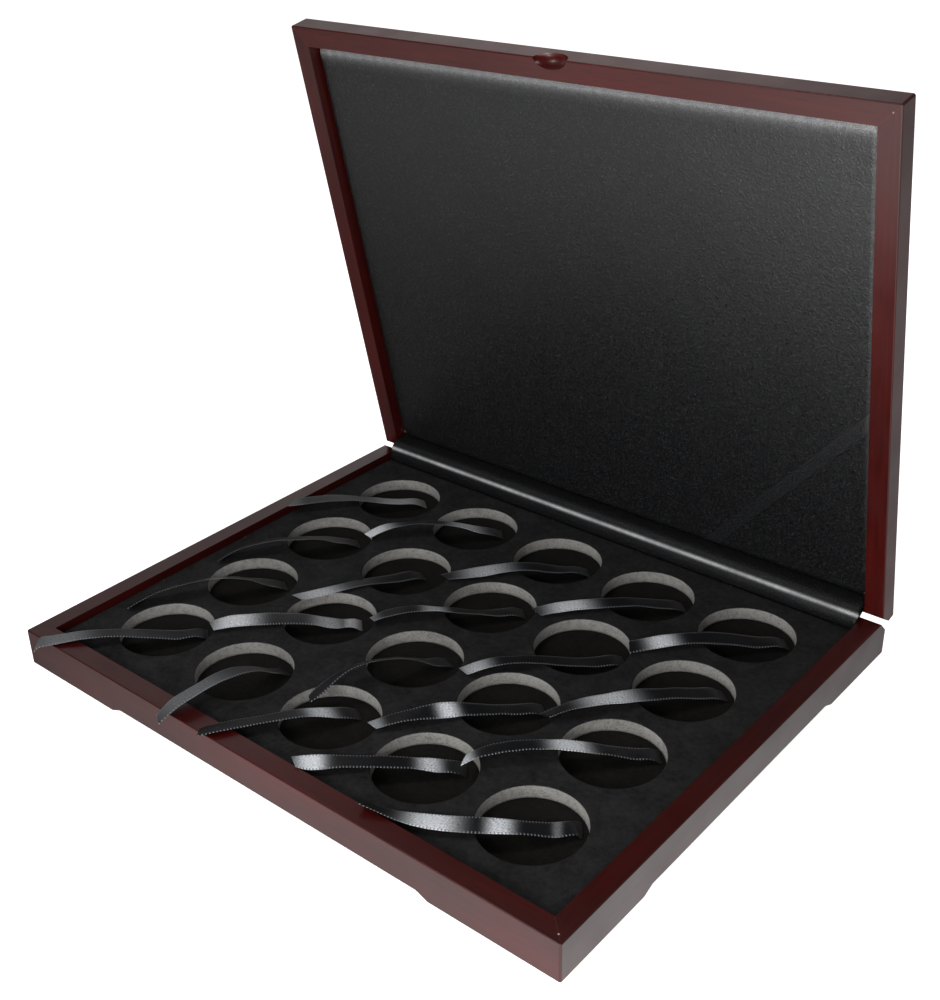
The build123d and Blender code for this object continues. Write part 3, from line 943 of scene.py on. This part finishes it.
def makeRibbonSatin():
    # satin on the face, with a painted highlight in slanted streaks where the ribbon's spans ask for it,
    # and at both edges a selvedge of knots, one to each bead, painted pale as a highlight on the beads
    material, tree, shader, place = startMaterial("ribbon_satin", "UV")
    parts = addNode(tree, "SeparateXYZ", {0: place}).outputs
    weave = useGroup(tree, satinGroup, {"Place": place, "Pitch": ribbon["weave"] * mm})
    edge = remap(tree, calc(tree, "ABSOLUTE", parts[0]), *(at * mm for at in ribbon["selvedge"]))
    edge = calc(tree, "MULTIPLY", edge, remap(tree, parts[1], *(at * mm for at in ribbon["knotStart"])))
    beat = calc(tree, "SINE", calc(tree, "MULTIPLY", parts[1], 2 * pi / (ribbon["beadPitch"] * mm)))
    knotAndHighlight = calc(tree, "MULTIPLY", edge, remap(tree, beat, 0.30, 0.85))
    paintedHighlight = addNode(tree, "Attribute", attribute_name="painted_highlight_share").outputs["Fac"]
    slanted = addNode(tree, "Mapping", {"Vector": place, "Rotation": (0, 0, ribbon["streakTurn"])}).outputs[0]
    highlightStreaks = noise(tree, slanted, ribbon["highlightStreaks"], 2.0, 0.6)
    # painted highlight: a near-white mixed in where the vertices carry it, in slanted streaks
    paintedHighlight = calc(tree, "MULTIPLY", paintedHighlight, remap(tree, highlightStreaks, 0.3, 0.7, 0.45, 1.7), clamp=True)
    colour = tint(tree, weave["Glint"], ribbon["dark"], ribbon["light"])
    colour = tint(tree, paintedHighlight, colour, ribbon["paintedHighlight"])
    # the knots' pale colour is a painted highlight; their relief below is real
    colour = tint(tree, knotAndHighlight, colour, ribbon["knots"])
    rough = remap(tree, weave["Glint"], 0.0, 1.0, *ribbon["roughness"])
    height = calc(tree, "MULTIPLY_ADD", knotAndHighlight, 1.2, weave["Relief"])
    normal = bump(tree, height, ribbon["weaveDepth"] * mm, 1.0)
    constants = {"Specular IOR Level": ribbon["specular"]}
    setInputs(tree, shader, {**constants, "Base Color": colour, "Roughness": rough, "Normal": normal})
    return material


def makeRibbon(name, number, lie):
    # a thin closed ring carried along a spline: across is a rounded strip whose edges are beaded,
    # cupped a little, and leant about the line it follows
    (rootX, rootY), bearing, bow, slant, knots, paintedHighlights = lie
    row, column = int(name[-3]) - 1, int(name[-1]) - 1
    root = np.array([(column - 2) * holes["pitch"] + rootX, (1.5 - row) * holes["pitch"] + rootY])
    ahead = np.array([cos(radians(bearing)), sin(radians(bearing))])
    left = np.array([-ahead[1], ahead[0]])
    back = ribbon["tab"]
    reach, height, lean = (np.array(values, float) for values in zip(*knots))
    reach = np.concatenate([[-back, -back / 2], reach])
    height = np.concatenate([[ribbon["floor"], ribbon["floor"] + 0.3], height])
    lean = np.concatenate([[0, lean[0] * 0.5], lean])
    tip = reach[-1]
    s = np.linspace(reach[0], tip, int((tip - reach[0]) / ribbon["step"]))
    share = np.clip(s / tip, 0, 1)
    held, loose = ribbon["free"]
    free = np.clip((s - held) / (loose - held), 0, 1)
    lift = ribbon["liftWander"] * free * ripple(s, ribbon["liftPitch"], 100 + number)
    z = smoothThrough(reach, height, s) + lift
    sway = ribbon["leanWander"] * free * ripple(s, ribbon["leanPitch"], 200 + number)
    tilt = np.radians(smoothThrough(reach, lean, s) + sway)
    tilt = tilt * np.clip((s + back) / ribbon["settle"], 0, 1)
    aside = 4 * bow * share * (1 - share)
    centre = np.concatenate([root + s[:, None] * ahead + aside[:, None] * left, z[:, None]], axis=1)
    tangent = unit(np.gradient(centre, axis=0))
    level = unit(np.stack([-tangent[:, 1], tangent[:, 0], np.zeros(len(s))], axis=1))
    wide = np.cos(tilt)[:, None] * level + np.sin(tilt)[:, None] * np.cross(tangent, level)
    out = np.cross(tangent, wide)
    angle = np.linspace(0, 2 * pi, ribbon["ring"], endpoint=False) + pi / ribbon["ring"]
    c, d = squarer(np.cos(angle), 0.62), squarer(np.sin(angle), 0.5)
    beat = 0.5 + 0.5 * np.sin(2 * pi * s / ribbon["beadPitch"])
    beads = (np.abs(c) ** 14)[None, :] * beat[:, None]
    half = ribbon["width"] / 2
    sideways = half * c[None, :] + ribbon["beadOut"] * np.sign(c)[None, :] * beads
    thick = ribbon["thick"] * (1 + ribbon["bead"] / ribbon["thick"] * beads)
    rise = 0.5 * thick * d[None, :] + ribbon["cup"] * (0.45 - c[None, :] ** 2)
    nearTip = np.clip(1 - (tip - s) / ribbon["slantReach"], 0, 1) ** 2
    onward = slant * half * c[None, :] * nearTip[:, None]
    grid = centre[:, None, :]
    for shift, way in ((sideways, wide), (rise, out), (onward, tangent)):
        grid = grid + shift[..., None] * way[:, None, :]
    length = np.concatenate([[0], np.cumsum(np.linalg.norm(np.diff(centre, axis=0), axis=1))])
    uv = pairs(half * c[None, :] * mm, length[:, None] * mm)
    piece = surface(name + "_satin", grid * mm, uv, loop=True, capped=True)
    along = (placesOf(piece)[:, :2] / mm - root) @ ahead
    # where a highlight is painted along the ribbon, from its listed spans
    paintedHighlight = np.zeros(len(along))
    for middle, spread, most in paintedHighlights:
        paintedHighlight = np.maximum(paintedHighlight, most * np.exp(-np.abs((along - middle) / spread) ** 2.6))
    givePaintedHighlight(piece, paintedHighlight)
    return piece, float(length[-1] * mm)


ribbonMaterial = makeRibbonSatin()
for number, (name, lie) in enumerate(ribbonLies.items()):
    piece, length = makeRibbon(name, number, lie)
    dress(piece, ribbonMaterial)
    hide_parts(name)
    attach(piece, "base")
    if name in overRim:
        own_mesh(piece)
    else:
        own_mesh(piece)
print("ribbons done,", len(ribbonLies))

camera = {
    "place": (0.37598, -0.42388, 0.39565),  # metres
    "aim": (0.00099, 0.00976, 0.08931),
    "roll": -1.71,  # degrees
    "lens": 52.53,
    "shift": (0.0067, -0.0075),
}


def facing(place, aim, roll=0.0):
    # the matrix of something at place that looks along its own -Z at aim
    turned = (aim - place).to_track_quat("-Z", "Y").to_matrix() @ Matrix.Rotation(radians(roll), 3, "Z")
    return Matrix.Translation(place) @ turned.to_4x4()


def makeCamera():
    data = bpy.data.cameras.new("studio_camera")
    data.sensor_fit = "HORIZONTAL"
    data.sensor_width = 36.0
    data.lens = camera["lens"]
    data.shift_x, data.shift_y = camera["shift"]
    data.clip_start = 0.01
    piece = putIn("studio_camera", data)
    piece.matrix_world = facing(Vector(camera["place"]), Vector(camera["aim"]), camera["roll"])
    bpy.context.scene.camera = piece


makeCamera()

studio = {
    "floorReach": 8.0,  # metres
    "floorColour": (0.80, 0.80, 0.79, 1),
    "floorGlow": 0.92,
    # how bright the table is in a reflection, left and right of the case, and the two places in Y
    # between which it fades to the share that is left behind the case
    "glossLeft": (0.58, -0.26, -0.06, 0.08),
    "glossRight": (1.5, -0.17, 0.17, 0.25),
    "glossAcross": 0.175,  # left turns into right between minus this and this in X
    # the table well in front of the case, which the lid mirrors: places in X and what they multiply by
    "glossFore": {"left": (-0.65, 0.5), "right": (-0.35, 2.0), "full": -0.25, "none": -0.19},
    "matteInGloss": 0.2,  # how much of the table's own colour is left there
    "worldLevel": 0.272,
    "glossLevel": 0.024,
    # what the room shows in a reflection: the bearing and elevation of a soft glow, and its strength
    "glows": [
        (-150, 5, 0.16), (-100, 5, 0.76), (125, 14, 0.592), (125, 26, 0.416), (150, 26, 0.48),
        (175, 14, 0.16), (178, 26, 0.56), (130, 40, 0.288)],
    "glowInner": 3,
    "glowOuter": 18,
    "lampTarget": (0, 0, 0.05),
}
lamps = [
    # name, place in metres, width and height in metres, watts
    ("front_strip", (0.15, -0.44, 0.065), (0.28, 0.11), 0.95),
    ("front_box", (0.12, -0.70, 0.36), (0.20, 0.20), 1.4),
    ("corner_box", (0.45, -0.50, 0.28), (0.15, 0.15), 0.42),
    ("high_left_box", (-0.44, -0.44, 1.20), (0.30, 0.30), 2.4),
    ("high_rear_box", (0.36, 0.43, 1.22), (0.30, 0.30), 1.4),
    ("rear_fill", (0.10, 0.95, 0.35), (0.50, 0.30), 1.2),
]


def seenDirectly(tree, path):
    return calc(tree, "MAXIMUM", path["Is Camera Ray"], path["Is Transmission Ray"])


def makeFloor():
    # white to the lens, dimmer to the left and behind in gloss, and shaded by the case where matte
    mesh = bpy.data.meshes.new("studio_floor")
    reach = studio["floorReach"]
    corners = [(x * reach, y * reach, 0) for x, y in ((-1, -1), (1, -1), (1, 1), (-1, 1))]
    mesh.from_pydata(corners, [], [(0, 1, 2, 3)])
    piece = putIn("studio_floor", mesh)
    material = bpy.data.materials.new("studio_floor_white")
    material.use_nodes = True
    tree = material.node_tree
    tree.nodes.clear()
    path = addNode(tree, "LightPath").outputs
    place = addNode(tree, "TexCoord").outputs["Object"]
    parts = addNode(tree, "SeparateXYZ", {0: place}).outputs
    sides = []
    for level, front, rear, share in (studio["glossLeft"], studio["glossRight"]):
        sides.append(remap(tree, parts[1], front, rear, level, level * share))
    gloss = remap(tree, parts[0], -studio["glossAcross"], studio["glossAcross"], *sides)
    fore = studio["glossFore"]
    lift = remap(tree, parts[0], fore["left"][0], fore["right"][0], fore["left"][1], fore["right"][1])
    share = remap(tree, parts[1], fore["full"], fore["none"], 1.0, 0.0)
    lift = calc(tree, "MULTIPLY_ADD", share, calc(tree, "SUBTRACT", lift, 1.0), 1.0)
    gloss = calc(tree, "MULTIPLY", calc(tree, "MULTIPLY", gloss, lift), path["Is Glossy Ray"])
    level = calc(tree, "MULTIPLY_ADD", seenDirectly(tree, path), studio["floorGlow"], gloss)
    kept = calc(tree, "MULTIPLY_ADD", path["Is Glossy Ray"], studio["matteInGloss"] - 1, 1.0)
    matte = tint(tree, kept, (0, 0, 0, 1), studio["floorColour"])
    matte = addNode(tree, "BsdfDiffuse", {"Color": matte}).outputs[0]
    glow = addNode(tree, "Emission", {"Strength": level}).outputs[0]
    both = addNode(tree, "AddShader", {0: matte, 1: glow}).outputs[0]
    addNode(tree, "OutputMaterial", {"Surface": both})
    dress(piece, material)


def makeWorld():
    # white to the lens; in gloss, a dark room with a few soft glows; else an even grey
    world = bpy.data.worlds.new("studio_world")
    bpy.context.scene.world = world
    world.use_nodes = True
    tree = world.node_tree
    tree.nodes.clear()
    path = addNode(tree, "LightPath").outputs
    ahead = addNode(tree, "TexCoord").outputs["Generated"]
    gloss = studio["glossLevel"]
    ends = {1: cos(radians(studio["glowOuter"])), 2: cos(radians(studio["glowInner"]))}
    for bearing, elevation, strength in studio["glows"]:
        b, e = radians(bearing), radians(elevation)
        toward = (cos(b) * cos(e), sin(b) * cos(e), sin(e))
        nearness = addNode(tree, "VectorMath", {0: ahead, 1: toward}, operation="DOT_PRODUCT").outputs[1]
        limits = {0: nearness, 3: 0.0, 4: strength, **ends}
        patch = addNode(tree, "MapRange", limits, interpolation_type="SMOOTHSTEP").outputs[0]
        gloss = calc(tree, "ADD", patch, gloss)
    level = calc(tree, "MULTIPLY", path["Is Glossy Ray"], gloss)
    plain = calc(tree, "MULTIPLY", calc(tree, "SUBTRACT", 1.0, path["Is Glossy Ray"]), studio["worldLevel"])
    level = calc(tree, "ADD", level, plain)
    seen = seenDirectly(tree, path)
    hidden = calc(tree, "MULTIPLY", calc(tree, "SUBTRACT", 1.0, seen), level)
    strength = calc(tree, "ADD", seen, hidden)
    glow = addNode(tree, "Background", {"Color": (1, 1, 1, 1), "Strength": strength}).outputs[0]
    addNode(tree, "OutputWorld", {"Surface": glow})


def makeLamps():
    for name, place, size, watts in lamps:
        data = bpy.data.lights.new(name, "AREA")
        data.shape = "RECTANGLE"
        data.size, data.size_y = size
        data.energy = watts
        piece = putIn(name, data)
        piece.matrix_world = facing(Vector(place), Vector(studio["lampTarget"]))
        piece.visible_camera = False


makeFloor()
makeWorld()
makeLamps()
bpy.context.scene.view_settings.view_transform = "Standard"
print("stage done")
